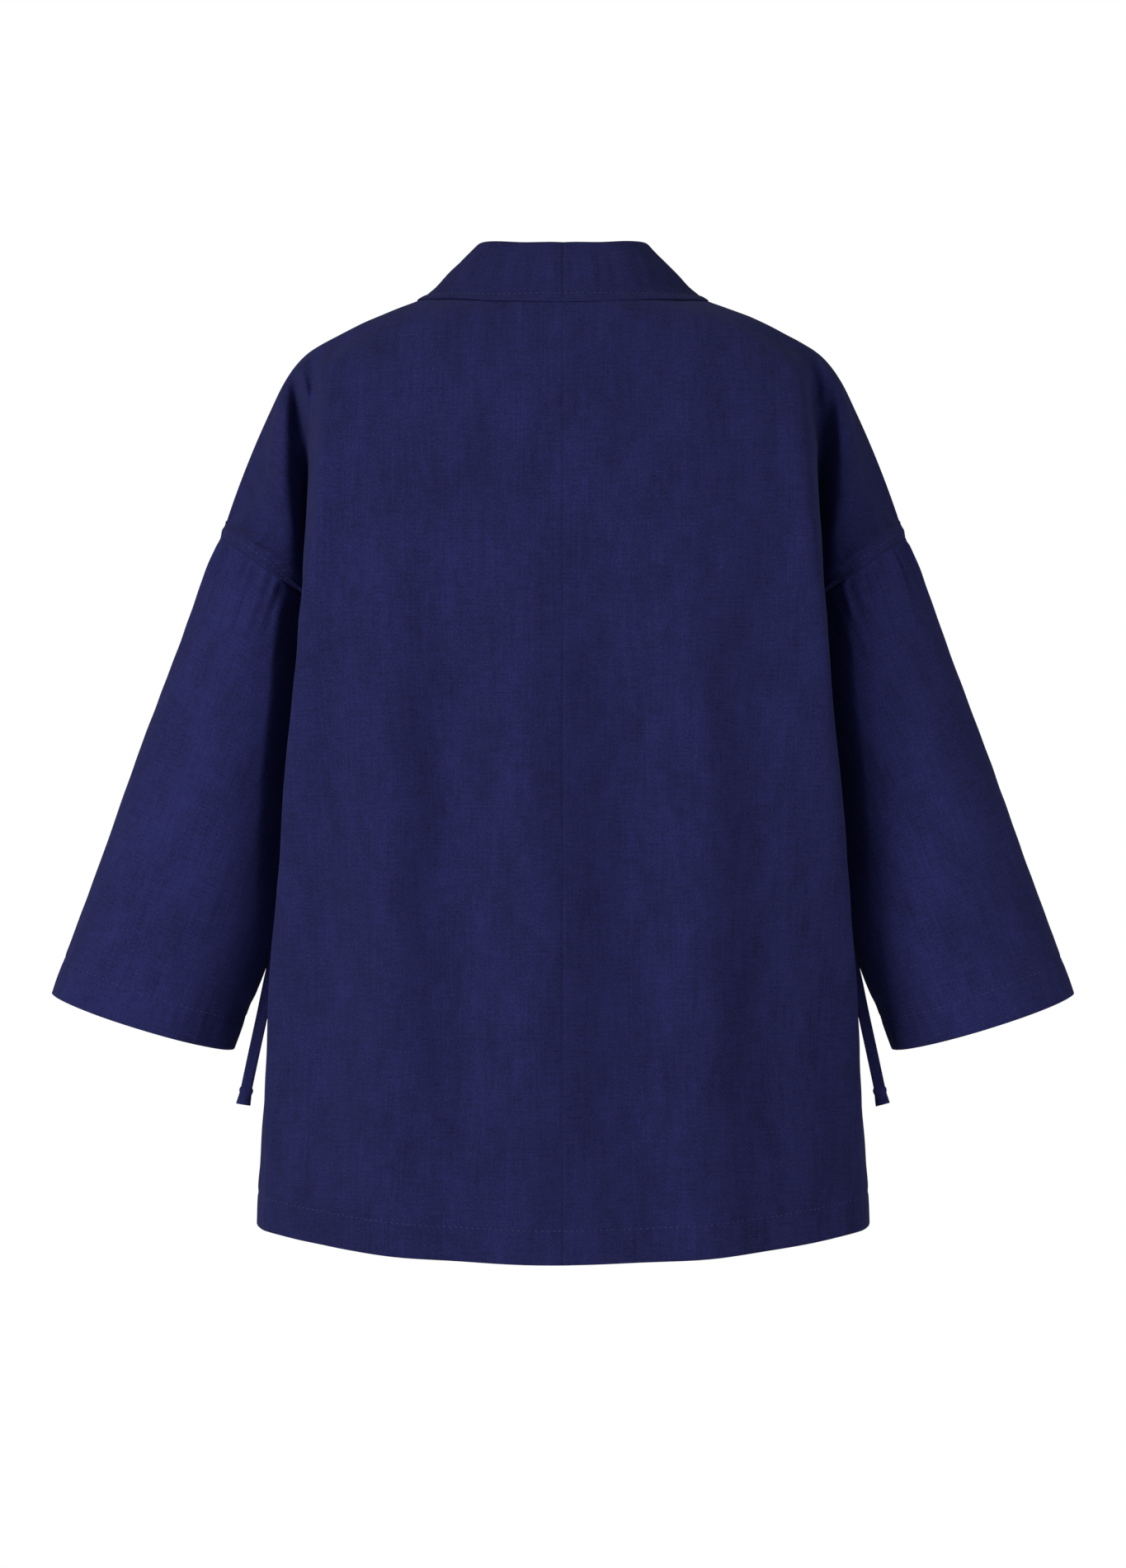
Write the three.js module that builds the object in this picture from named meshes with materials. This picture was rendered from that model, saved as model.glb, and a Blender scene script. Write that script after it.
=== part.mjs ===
// Short kimono jacket of indigo slub cotton, in the hollow form that it has when it is worn.
// Millimetres, +Z up. The wearer faces -Y and +X is the wearer's left. The origin is in the middle
// of the neck, level with the two points where the collar band crosses the shoulder seams.
import * as THREE from 'three';
import { mergeVertices } from 'three/addons/utils/BufferGeometryUtils.js';

// Rows of a table, from the names of its columns and a list of values for each row.
const table = (names, ...rows) => rows.map((row) => (
  Object.fromEntries(names.split(' ').map((name, column) => [name, row[column]]))));

// ---- cloth and seams ----
const CLOTH = 2; // wall of one panel
const BAND = 2; // wall of the doubled collar band
const SEAM_GAP = 0.36; // clear space between two pieces at a seam
const LAP = 8; // the band's edge reaches this far over the panel that it is sewn to
const BAND_LIFT = 0.8; // clear space under the band where it lies on a panel
const BAND_ROLL = 1; // how far the middle of the band bulges
const OVER_LAYER = 7.5; // the left front lies this far outside the right one
const OVER_FADE = 40; // and comes down to the body in this distance past the layers below

// ---- sleeve and armhole ----
const ARMHOLE_TOP = new THREE.Vector3(257, 0, -177);
const ARMHOLE_BOTTOM = new THREE.Vector3(145, 0, -255);
const ARMHOLE_DEPTH = 62; // half its size from back to front
const CUFF_OUTER = new THREE.Vector3(385, -12, -519);
const CUFF_INNER = new THREE.Vector3(248.5, -12, -562);
const CUFF_DEPTH = 67;
const SLEEVE_SIDES = 18; // an even number, so that the panels' rows end on its corners
const SLEEVE_RINGS = 9;
// The sleeve is squeezed beside the body's ridge: PINCH is what is left of its depth there. It opens
// over PINCH_WIDTH, from PINCH_STARTS inside the ridge, and further down the arm, in shares of it.
const PINCH = 0.38;
const PINCH_STARTS = 2;
const PINCH_WIDTH = 25;
const PINCH_ENDS = [0.35, 0.95];
// The body's cloth is in line with the sleeve over the shoulder. From FOLD_STARTS, an angle round the
// armhole from its top, it folds back more and more, until the two hang side by side under the arm.
const FOLD_STARTS = THREE.MathUtils.degToRad(34);
const FOLD_UNDER_ARM = THREE.MathUtils.degToRad(158);
const BESIDE_ARMHOLE = 10; // the panels' last corners but one are this far from the seam
const BESIDE_FROM = THREE.MathUtils.degToRad(14); // and go round it from this angle to its counterpart

// ---- heights ----
const NECK_SIDE = new THREE.Vector3(101.5, 0, 3.5); // where the neckline meets the shoulder seam
const NECK_BACK = new THREE.Vector3(0, 80, -7); // the neckline at the centre back
const FRONT_NECK_TOP = -4; // first height on the front edge, next to the shoulder seam
const SHOULDER_ROWS = [-20, -40, -58, -83, -114, -145];
const LOWER_ROWS = 9;
const HEM_SIDE = -689;
const HEM_DIP = 13; // the hem is lower at the centre than at the side seams
const ARMHOLE_DIP = 20; // and so is the row that ends under the arm

// ---- sections of the body at heights, for the left half ----
// back and front are the depths on the centre line. The ridge is the fold that stands out beside the
// arm, the trough is the hollow between it and the arm, arm is a point on the cloth over the arm or,
// under the armhole, on the flank, and side is the shoulder seam or the side seam, at depth 0.
const SECTIONS = table('z back front ridgeX ridgeY troughX troughY armX armY side',
  [4, 80, 20, 72, 56, 88, 38, 97, 20, 101],
  [-20, 90, 58, 110, 66, 135, 47, 150, 28, 158],
  [-40, 99, 74, 149, 67, 170, 42, 184, 28, 193.5],
  [-58, 105, 86, 168, 74, 190, 46, 200, 34, 208],
  [-83, 112, 97, 174.5, 83, 193, 40, 204, 41, 220.4],
  [-114, 118, 106, 178.5, 93, 191.5, 29, 204.5, 48, 234],
  [-145, 122, 112, 180.5, 99, 189.5, 22, 203.5, 52, 246],
  [-177, 124, 116, 183, 103, 188.5, 24, 202, 54, 257],
  [-200, 125, 118, 185, 105, 187.5, 30, 199, 53, 265.5],
  [-216, 125, 120, 186, 106, 185, 39, 194, 47, 271.5],
  [-228, 125, 120, 187.2, 106, 183, 47, 187, 42, 276],
  [-239, 126, 121, 188.2, 106, 183, 50, 179, 42, 145],
  [-250, 126, 121, 189.1, 106, 181, 48, 171, 36, 145],
  [-258, 126, 122, 189.8, 106, 178, 46, 164, 30, 145],
  [-265, 127, 122, 190.5, 106, 176, 45, 159, 25, 145.2],
  [-285, 127, 123, 192.2, 105, 177, 45, 158, 24, 147],
  [-305, 127, 123, 194, 104, 180, 46, 162, 24, 151],
  [-345, 128, 124, 198.5, 101, 187, 48, 172, 24, 161],
  [-400, 130, 127, 203, 93, 197, 48, 188, 24, 180],
  [-455, 132, 130, 208, 81, 206, 45, 201, 23, 197.5],
  [-498, 134, 132, 212.5, 70, 212, 40, 209, 20, 207],
  [-536, 135, 134, 215, 62, 216, 36, 215, 18, 214],
  [-579, 137, 136, 216.5, 58, 220, 33, 220.7, 16, 220.5],
  [-640, 139, 139, 217, 56, 224.5, 31, 226.3, 15, 226.5],
  [-710, 142, 142, 218, 56, 227.5, 30, 230, 14, 230.8],
);
const CROWN = 2.8; // how square the section is between the centre line and the ridge

// ---- front edges ----
// free is the band's free edge and panel the edge of the cloth under it, both for the left front.
const FRONT_EDGE = table('z free panel',
  [-4, 59, 101],
  [-20, 53, 99],
  [-60, 40, 88.5],
  [-120, 20, 69],
  [-175, 0, 49],
  [-240, -25, 24.3],
  [-320, -57, -8],
  [-400, -82, -34.5],
  [-480, -98, -51.5],
  [-560, -106, -59.8],
  [-640, -111, -65],
  [-710, -113, -67],
);
// The band's free edge round the neck, from the centre back to the top of the front.
const NECK_EDGE = table('x y z',
  [0, 60, 35],
  [26, 58, 35.5],
  [48, 51, 37.3],
  [59.5, 37, 38.8],
  [65, 20, 38],
  [69, 2, 35],
  [67.5, -22, 20],
  [64, -45, 3],
  [56, -66, -19],
  [43.6, -84, -48],
);

// ---- soft vertical folds, which grow from where each starts ----
// top and hem are the fold's place across the body, height is how far it stands out when full.
const FOLD_GROWTH = 2.4; // a fold is full after one part in this of its length
const BACK_FOLDS = table('top hem height width starts',
  [168, 176, -4, 13, -150],
  [130, 124, 9, 27, -110],
  [84, 76, -10, 26, -140],
  [30, 14, 10, 32, -150],
  [-36, -58, -10, 30, -140],
  [-92, -104, 9, 28, -140],
  [-136, -150, -8, 24, -120],
);
const FRONT_FOLDS = table('top hem height width starts',
  [140, 150, 5, 28, -200],
  [95, 100, -4, 26, -260],
  [-105, -118, -4, 26, -240],
  [-148, -162, 5, 28, -180],
);

// ---- side ties ----
const TIE_WIDTH = 8;
const TIE_THICKNESS = 1.6;
const TIE_STATIONS = 12;
const TIE_ROUTE = table('x z',
  [179.7, -396.8],
  [184.4, -395.6],
  [189.5, -404],
  [196.5, -428],
  [205, -455],
  [213, -480],
  [218, -498],
  [226, -536],
  [232.5, -566],
  [237.6, -590],
);
const KNOT_SEGMENTS = 10;
const KNOT_FLATNESS = 0.72; // its thickness compared with its width
// The knot and its short tail, from the tape downwards.
const KNOT_PROFILE = table('radius drop',
  [0, 0.4],
  [3.4, 0.6],
  [4.9, 2],
  [5.2, 4.4],
  [4.6, 6.8],
  [3.2, 8],
  [4.2, 12.4],
  [0, 12.4],
);

// ---- finishes ----
const INDIGO = 0x23254e;
const CLOTH_ROUGHNESS = 0.9;

// ---- small helpers ----
const mix = (a, b, t) => a + (b - a) * t;
const ease = (t) => THREE.MathUtils.smoothstep(t, 0, 1);
const moved = (point, direction, distance) => point.clone().addScaledVector(direction, distance);
const towards = (from, to) => to.clone().sub(from).normalize();
const SMALL_ANGLE = 0.01;
const armholeAngle = (corner) => (2 * Math.PI * corner) / SLEEVE_SIDES;

// Value of one column of a table at a height: smooth, and never past its neighbours.
function valueAt(table, column, z) {
  const last = table.length - 1;
  const clamped = THREE.MathUtils.clamp(z, table[last].z, table[0].z);
  let i = 0;
  while (i < last - 1 && table[i + 1].z > clamped) i += 1;
  const rise = (k) => (table[k + 1][column] - table[k][column]) / (table[k + 1].z - table[k].z);
  const slope = (k) => {
    if (k === 0) return rise(0);
    if (k === last) return rise(last - 1);
    const [before, after] = [rise(k - 1), rise(k)];
    return before * after <= 0 ? 0 : (2 * before * after) / (before + after);
  };
  const span = table[i + 1].z - table[i].z;
  const t = (clamped - table[i].z) / span;
  const [t2, t3] = [t * t, t * t * t];
  return (2 * t3 - 3 * t2 + 1) * table[i][column] + (t3 - 2 * t2 + t) * span * slope(i)
    + (3 * t2 - 2 * t3) * table[i + 1][column] + (t3 - t2) * span * slope(i + 1);
}

// ---- the body's surface ----
// Point on the sleeve: share is 0 at the armhole and 1 at the cuff, the angle goes round the arm from
// its top towards the back.
function sleevePoint(share, angle) {
  const outer = ARMHOLE_TOP.clone().lerp(CUFF_OUTER, share);
  const inner = ARMHOLE_BOTTOM.clone().lerp(CUFF_INNER, share);
  const point = inner.lerp(outer, (1 + Math.cos(angle)) / 2);
  const pastRidge = point.x - valueAt(SECTIONS, 'ridgeX', point.z);
  const squeezed = mix(PINCH, 1, THREE.MathUtils.smoothstep(share, ...PINCH_ENDS));
  const slim = mix(squeezed, 1, ease((pastRidge + PINCH_STARTS) / PINCH_WIDTH));
  point.y += mix(ARMHOLE_DEPTH, CUFF_DEPTH, share) * Math.sin(angle) * slim;
  return point;
}

// Directions at a point of the armhole seam: normal halves the corner between the sleeve's cloth and
// the body's, across goes from the sleeve to the body within the seam, body goes along the body's cloth.
function armholeFrame(angle) {
  const start = sleevePoint(0, angle);
  const along = towards(sleevePoint(0, angle - SMALL_ANGLE), sleevePoint(0, angle + SMALL_ANGLE));
  const down = sleevePoint(1, angle).sub(start);
  down.addScaledVector(along, -down.dot(along)).normalize();
  const outward = down.clone().cross(along);
  const fold = FOLD_UNDER_ARM * ease((Math.abs(angle) - FOLD_STARTS) / (Math.PI - FOLD_STARTS));
  const turned = (turn) => (
    outward.clone().multiplyScalar(Math.sin(turn)).addScaledVector(down, -Math.cos(turn)));
  return { start, across: turned(fold / 2), body: turned(fold), normal: turned(fold / 2 + Math.PI / 2) };
}

function foldHeight(folds, x, z) {
  let height = 0;
  for (const fold of folds) {
    const down = (z - fold.starts) / (HEM_SIDE - fold.starts);
    if (down <= 0) continue;
    const offset = (x - mix(fold.top, fold.hem, down)) / fold.width;
    height += fold.height * ease(down * FOLD_GROWTH) * Math.exp(-offset * offset);
  }
  return height;
}

// Depth of the cloth between the centre line and the ridge; x is signed, the depth is positive.
function depthAt(isBack, x, z) {
  const centre = valueAt(SECTIONS, isBack ? 'back' : 'front', z);
  const ridgeX = valueAt(SECTIONS, 'ridgeX', z);
  const ridgeY = valueAt(SECTIONS, 'ridgeY', z) * frontScale(isBack, z);
  const across = Math.min(Math.abs(x) / ridgeX, 1);
  const folds = foldHeight(isBack ? BACK_FOLDS : FRONT_FOLDS, x, z);
  return mix(centre, ridgeY, across ** CROWN) + folds * (1 - across ** 6);
}

// The front is a little flatter than the back.
function frontScale(isBack, z) {
  return isBack ? 1 : valueAt(SECTIONS, 'front', z) / valueAt(SECTIONS, 'back', z);
}

// How far the left front is lifted by the right one and its band.
function overlapLift(x, z) {
  const beyond = x + valueAt(FRONT_EDGE, 'free', z);
  return OVER_LAYER * (1 - ease((beyond - 4) / OVER_FADE));
}

// ---- rows of a panel ----
const CENTRE_SPANS = 7; // from the centre line or the front edge to the ridge
const FLANK_SPANS = { ridge: 3, trough: 2, arm: 2, beside: 1 }; // from each of these to the next one
// How far a row has come from its height on the centre line to its height at its outer end.
const SHARES_AT_ARMHOLE = { ridge: 0.25, trough: 0.35, arm: 0.5 };
const SHARES_AT_HEM = { ridge: 0.9, trough: 0.95, arm: 0.98 };

const BESIDE_SHARE = 0.9; // place of a row's last corner but one where no armhole is near it

// One row, for the left half, from its inner end to the shoulder, armhole or side seam.
function panelRow(isBack, side, row) {
  const { centreZ, edge, down } = row;
  const share = (name) => mix(SHARES_AT_ARMHOLE[name], SHARES_AT_HEM[name], down);
  const outward = isBack ? 1 : -1;
  const node = (name) => {
    const z = mix(centreZ, edge.z, share(name));
    const depth = valueAt(SECTIONS, `${name}Y`, z) * frontScale(isBack, z);
    return new THREE.Vector3(valueAt(SECTIONS, `${name}X`, z), outward * depth, z);
  };
  const ridge = node('ridge');
  const start = isBack ? 0 : valueAt(FRONT_EDGE, 'panel', centreZ);
  const points = [];
  for (let k = 0; k <= CENTRE_SPANS; k += 1) {
    const x = mix(start, ridge.x, k / CENTRE_SPANS);
    const z = mix(centreZ, edge.z, share('ridge') * Math.min(1, (x / ridge.x) ** 2));
    points.push(new THREE.Vector3(x, outward * depthAt(isBack, side * x, z), z));
  }
  points[CENTRE_SPANS].copy(ridge);
  const controls = [points[CENTRE_SPANS - 1], ridge, node('trough'), node('arm'), edge];
  const spare = new THREE.CatmullRomCurve3(controls, false, 'centripetal').getPoint(BESIDE_SHARE);
  controls.splice(-1, 0, row.beside ?? spare);
  const curve = new THREE.CatmullRomCurve3(controls, false, 'centripetal');
  Object.values(FLANK_SPANS).forEach((spans, part) => {
    for (let k = 1; k <= spans; k += 1) {
      points.push(curve.getPoint((1 + part + k / spans) / (controls.length - 1)));
    }
  });
  return points;
}

// The neckline of the back: a quarter of an oval, with the corners of the row under it.
function neckRow(below) {
  const walked = [0];
  for (let j = 1; j < below.length; j += 1) walked.push(walked[j - 1] + below[j].distanceTo(below[j - 1]));
  return walked.map((distance) => {
    const share = distance / walked.at(-1);
    const angle = (share * Math.PI) / 2;
    const z = mix(NECK_BACK.z, NECK_SIDE.z, share ** 2);
    return new THREE.Vector3(NECK_SIDE.x * Math.sin(angle), NECK_BACK.y * Math.cos(angle), z);
  });
}

// Where the rows of both panels begin and end, from the shoulder to the hem.
function rowPlan(isBack) {
  const outward = isBack ? 1 : -1;
  const halfSides = SLEEVE_SIDES / 2;
  const plan = SHOULDER_ROWS.map((z) => ({
    centreZ: z, edge: new THREE.Vector3(valueAt(SECTIONS, 'side', z), 0, z), down: 0,
  }));
  const lowest = ARMHOLE_BOTTOM.z - ARMHOLE_DIP;
  for (let k = 0; k <= halfSides; k += 1) {
    const share = k / halfSides;
    const { start, body } = armholeFrame(outward * mix(BESIDE_FROM, Math.PI - BESIDE_FROM, share));
    plan.push({
      centreZ: mix(ARMHOLE_TOP.z, lowest, share),
      edge: sleevePoint(0, outward * armholeAngle(k)),
      beside: moved(start, body, BESIDE_ARMHOLE),
      down: 0,
    });
  }
  for (let k = 1; k <= LOWER_ROWS; k += 1) {
    const down = k / LOWER_ROWS;
    const z = mix(ARMHOLE_BOTTOM.z, HEM_SIDE, down);
    const edge = new THREE.Vector3(valueAt(SECTIONS, 'side', z), 0, z);
    plan.push({ centreZ: z - mix(ARMHOLE_DIP, HEM_DIP, down), edge, down });
  }
  return plan;
}
const TOP_ROW = 1 + SHOULDER_ROWS.length; // the row that ends at the top of the armhole
const BOTTOM_ROW = TOP_ROW + SLEEVE_SIDES / 2; // and the one that ends under the arm

// side is 1 for the wearer's left and -1 for the right.
function backPanel(side) {
  const rows = rowPlan(true).map((row) => panelRow(true, side, row));
  return [neckRow(rows[0]), ...rows];
}

function frontPanel(side) {
  const rows = rowPlan(false).map((row) => panelRow(false, side, row));
  const columns = rows[0].length;
  const edgeX = valueAt(FRONT_EDGE, 'panel', FRONT_NECK_TOP);
  const first = new THREE.Vector3(edgeX, -16, FRONT_NECK_TOP);
  const top = [];
  for (let j = 0; j < columns; j += 1) top.push(first.clone().lerp(NECK_SIDE, j / (columns - 1)));
  if (side > 0) {
    for (const point of rows.flat()) {
      const isInsideRidge = Math.abs(point.x) < valueAt(SECTIONS, 'ridgeX', point.z);
      if (isInsideRidge) point.y -= overlapLift(point.x, point.z);
    }
  }
  return [top, ...rows];
}

function sleevePanel() {
  const rings = [];
  for (let i = 0; i <= SLEEVE_RINGS; i += 1) {
    const ring = [];
    for (let j = 0; j < SLEEVE_SIDES; j += 1) ring.push(sleevePoint(i / SLEEVE_RINGS, armholeAngle(j)));
    rings.push(ring);
  }
  return rings;
}

// ---- grids, walls and their seams ----
// A grid is a piece's outer face: rows of points, and flipped says which way its faces turn.
const grid = (rows, flipped, wraps = false) => ({ rows, flipped, wraps });

// Normals of a grid's points, each from the faces around it.
function gridNormals({ rows, flipped, wraps }) {
  const columns = rows[0].length;
  const sums = rows.map((row) => row.map(() => new THREE.Vector3()));
  for (let i = 0; i < rows.length - 1; i += 1) {
    for (let j = 0; j < columns - (wraps ? 0 : 1); j += 1) {
      const next = (j + 1) % columns;
      const cross = rows[i + 1][next].clone().sub(rows[i][j]);
      cross.cross(rows[i + 1][j].clone().sub(rows[i][next])).multiplyScalar(flipped ? -1 : 1);
      for (const sum of [sums[i][j], sums[i][next], sums[i + 1][j], sums[i + 1][next]]) sum.add(cross);
    }
  }
  return sums.map((row) => row.map((sum) => sum.normalize()));
}

// A closed wall between an outer and an inner face with the same rows.
function wallGeometry(outer, inner, flipped, wraps = false) {
  const [rowCount, columns] = [outer.length, outer[0].length];
  const positions = [...outer.flat(), ...inner.flat()].flatMap((point) => point.toArray());
  const at = (layer, i, j) => (layer * rowCount + i) * columns + (j % columns);
  const faces = [];
  const quad = (...corners) => {
    const [a, b, c, d] = flipped ? corners.reverse() : corners;
    faces.push(a, b, c, a, c, d);
  };
  const lastRow = rowCount - 1;
  const lastColumn = columns - 1;
  for (let j = 0; j < (wraps ? columns : lastColumn); j += 1) {
    for (let i = 0; i < lastRow; i += 1) {
      quad(at(0, i, j), at(0, i, j + 1), at(0, i + 1, j + 1), at(0, i + 1, j));
      quad(at(1, i, j), at(1, i + 1, j), at(1, i + 1, j + 1), at(1, i, j + 1));
    }
    quad(at(0, 0, j + 1), at(0, 0, j), at(1, 0, j), at(1, 0, j + 1));
    quad(at(0, lastRow, j), at(0, lastRow, j + 1), at(1, lastRow, j + 1), at(1, lastRow, j));
  }
  for (let i = 0; i < (wraps ? 0 : lastRow); i += 1) {
    quad(at(0, i, 0), at(0, i + 1, 0), at(1, i + 1, 0), at(1, i, 0));
    quad(at(0, i + 1, lastColumn), at(0, i, lastColumn), at(1, i, lastColumn), at(1, i + 1, lastColumn));
  }
  const geometry = new THREE.BufferGeometry();
  geometry.setAttribute('position', new THREE.Float32BufferAttribute(positions, 3));
  geometry.setIndex(faces);
  return mergeVertices(geometry, 1e-3);
}

const flattened = (normal) => normal.setY(0).normalize();

// Pieces that meet at a seam get the same normals there.
function joinNormals(back, front, sleeve) {
  const last = back[0].length - 1;
  back.forEach((row, i) => {
    row[0].setX(0).normalize();
    if (i < TOP_ROW || i > BOTTOM_ROW) {
      row[last] = flattened(row[last].clone().add(front[i][last]));
      front[i][last] = row[last].clone();
      return;
    }
    const corner = i - TOP_ROW;
    const angle = armholeAngle(corner);
    row[last] = armholeFrame(angle).normal;
    front[i][last] = armholeFrame(-angle).normal;
    sleeve[0][corner] = row[last].clone();
    sleeve[0][(SLEEVE_SIDES - corner) % SLEEVE_SIDES] = front[i][last].clone();
  });
}

// Opens the seams round a body panel. rows are those of the left half.
function openPanelSeams(isBack, rows) {
  const half = SEAM_GAP / 2;
  const outward = isBack ? 1 : -1;
  rows.forEach((row, i) => {
    const last = row.length - 1;
    if (i >= TOP_ROW && i <= BOTTOM_ROW) {
      row[last] = moved(row[last], armholeFrame(outward * armholeAngle(i - TOP_ROW)).across, half);
    }
    if (i <= TOP_ROW || i >= BOTTOM_ROW) row[last].y += outward * half;
    if (isBack) row[0].x += half;
  });
}

function openSleeveSeam(rows) {
  rows[0] = rows[0].map((point, j) => {
    const angle = j > SLEEVE_SIDES / 2 ? armholeAngle(j - SLEEVE_SIDES) : armholeAngle(j);
    return moved(point, armholeFrame(angle).across, -SEAM_GAP / 2);
  });
}

const wallFromNormals = (rows, normals, thickness, flipped, wraps) => wallGeometry(rows,
  rows.map((row, i) => row.map((point, j) => moved(point, normals[i][j], -thickness))), flipped, wraps);

// ---- collar band ----
// Its free edge for the left half: round the neck, then down the front to the hem.
function freeEdgeCurve(side) {
  const points = NECK_EDGE.map(({ x, y, z }) => new THREE.Vector3(x, y, z));
  const hemZ = HEM_SIDE - HEM_DIP * 0.8;
  for (const { z } of FRONT_EDGE.filter((row) => row.z <= -60)) {
    const level = Math.max(z, hemZ);
    const x = valueAt(FRONT_EDGE, 'free', level);
    const lift = BAND_LIFT + BAND + (side > 0 ? overlapLift(x, level) : 0);
    points.push(new THREE.Vector3(x, -depthAt(false, side * x, level) - lift, level));
  }
  return new THREE.CatmullRomCurve3(points, false, 'centripetal');
}

function nearestPoint(samples, point) {
  let best = samples[0];
  for (const sample of samples) {
    if (sample.distanceToSquared(point) < best.distanceToSquared(point)) best = sample;
  }
  return best;
}

// The point nearest to a target on the lines that join two rows.
function nearestBetween(upper, lower, target) {
  const nearest = upper.map((point, j) => (
    new THREE.Line3(point, lower[j]).closestPointToPoint(target, true, new THREE.Vector3())));
  return nearestPoint(nearest, target);
}

// Places along the neckline and the front edge: the cloth's edge, which way the cloth goes, its normal.
function bandStations(back, backNormals, front, frontNormals) {
  const stations = back[0].map((edge, j) => (
    { edge, into: towards(edge, back[1][j]), normal: backNormals[0][j] }));
  front.forEach((row, i) => stations.push(
    { edge: row[0], into: towards(row[0], row[1]), normal: frontNormals[i][0] }));
  const corner = back[0].length; // the front's first place, where its row runs along the neckline
  const [before, after] = [stations[corner - 1], stations[corner + 1]];
  const into = before.into.clone().add(after.into).normalize();
  stations[corner].normal = before.normal.clone().add(after.normal).normalize();
  stations[corner].lap = nearestBetween(front[0], front[1], moved(front[0][0], into, LAP));
  return stations;
}

function collarBand(side, stations) {
  const samples = freeEdgeCurve(side).getSpacedPoints(1200);
  const outer = [];
  const inner = [];
  stations.forEach(({ edge, into, normal, lap }, i) => {
    const atEdge = moved(edge, normal, BAND_LIFT);
    const lapped = moved(lap ?? moved(edge, into, LAP), normal, BAND_LIFT);
    const isLast = i === stations.length - 1;
    const free = isLast ? samples.at(-1).clone() : nearestPoint(samples, edge).clone();
    const before = stations[Math.max(i - 1, 0)].edge;
    const after = stations[Math.min(i + 1, stations.length - 1)].edge;
    const outwards = towards(before, after).cross(towards(edge, free)).normalize();
    if (outwards.dot(normal) < 0) outwards.negate();
    const middle = moved(atEdge, normal, BAND).lerp(free, 0.5);
    const rolled = moved(middle, outwards, BAND_ROLL);
    outer.push([moved(lapped, normal, BAND), moved(atEdge, normal, BAND), rolled, free]);
    inner.push([lapped, atEdge, moved(rolled, outwards, -BAND), moved(free, outwards, -BAND)]);
  });
  for (const point of [...outer[0], ...inner[0]]) point.x = SEAM_GAP / 2;
  return wallGeometry(outer, inner, false);
}

// ---- side ties ----
function tieGeometry() {
  const route = TIE_ROUTE.map(({ x, z }) => new THREE.Vector3(x, 0, z));
  const curve = new THREE.CatmullRomCurve3(route, false, 'centripetal');
  const outer = [];
  const inner = [];
  for (let i = 0; i <= TIE_STATIONS; i += 1) {
    const centre = curve.getPointAt(i / TIE_STATIONS);
    const tangent = curve.getTangentAt(i / TIE_STATIONS);
    const across = new THREE.Vector3(-tangent.z, 0, tangent.x);
    const edges = [-0.5, 0.5].map((share) => moved(centre, across, share * TIE_WIDTH));
    outer.push(edges.map((point) => point.clone().setY(TIE_THICKNESS / 2)));
    inner.push(edges.map((point) => point.clone().setY(-TIE_THICKNESS / 2)));
  }
  return wallGeometry(outer, inner, false);
}

function knotGeometry() {
  const profile = KNOT_PROFILE.map(({ radius, drop }) => new THREE.Vector2(radius, -drop)).reverse();
  const geometry = new THREE.LatheGeometry(profile, KNOT_SEGMENTS);
  geometry.deleteAttribute('normal');
  geometry.deleteAttribute('uv');
  geometry.scale(1, 1, KNOT_FLATNESS);
  geometry.rotateX(Math.PI / 2);
  const [above, end] = TIE_ROUTE.slice(-2);
  geometry.rotateY(Math.atan2(above.x - end.x, above.z - end.z));
  geometry.translate(end.x, 0, end.z);
  return mergeVertices(geometry, 1e-3);
}

// A copy on the wearer's right. The faces are turned back, because mirroring turns them inside out.
function mirroredGeometry(geometry) {
  const copy = geometry.clone();
  copy.scale(-1, 1, 1);
  const index = copy.getIndex();
  for (let i = 0; i < index.count; i += 3) {
    const [second, third] = [index.getX(i + 1), index.getX(i + 2)];
    index.setX(i + 1, third);
    index.setX(i + 2, second);
  }
  return copy;
}

// ---- assembly ----
const kimono = new THREE.Group();

function addPiece(name, geometry, color = INDIGO) {
  const material = new THREE.MeshStandardMaterial({ color, roughness: CLOTH_ROUGHNESS, metalness: 0 });
  const piece = new THREE.Mesh(geometry, material);
  piece.name = name;
  kimono.add(piece);
}

function addHalf(side, word) {
  const back = grid(backPanel(side), false);
  const front = grid(frontPanel(side), true);
  const sleeve = grid(sleevePanel(), true, true);
  const [backNormals, frontNormals, sleeveNormals] = [back, front, sleeve].map(gridNormals);
  joinNormals(backNormals, frontNormals, sleeveNormals);
  openPanelSeams(true, back.rows);
  openPanelSeams(false, front.rows);
  openSleeveSeam(sleeve.rows);
  const stations = bandStations(back.rows, backNormals, front.rows, frontNormals);
  const pieces = {
    back: wallFromNormals(back.rows, backNormals, CLOTH, back.flipped),
    front: wallFromNormals(front.rows, frontNormals, CLOTH, front.flipped),
    sleeve: wallFromNormals(sleeve.rows, sleeveNormals, CLOTH, sleeve.flipped, true),
    collar: collarBand(side, stations),
    tie: tieGeometry(),
    tie_knot: knotGeometry(),
  };
  for (const [piece, geometry] of Object.entries(pieces)) {
    addPiece(`${piece}_${word}`, side > 0 ? geometry : mirroredGeometry(geometry));
  }
}

addHalf(1, 'left');
addHalf(-1, 'right');

export default kimono;
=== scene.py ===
import math

import bmesh
import bpy
import numpy as np
from mathutils import Matrix, Vector


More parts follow.
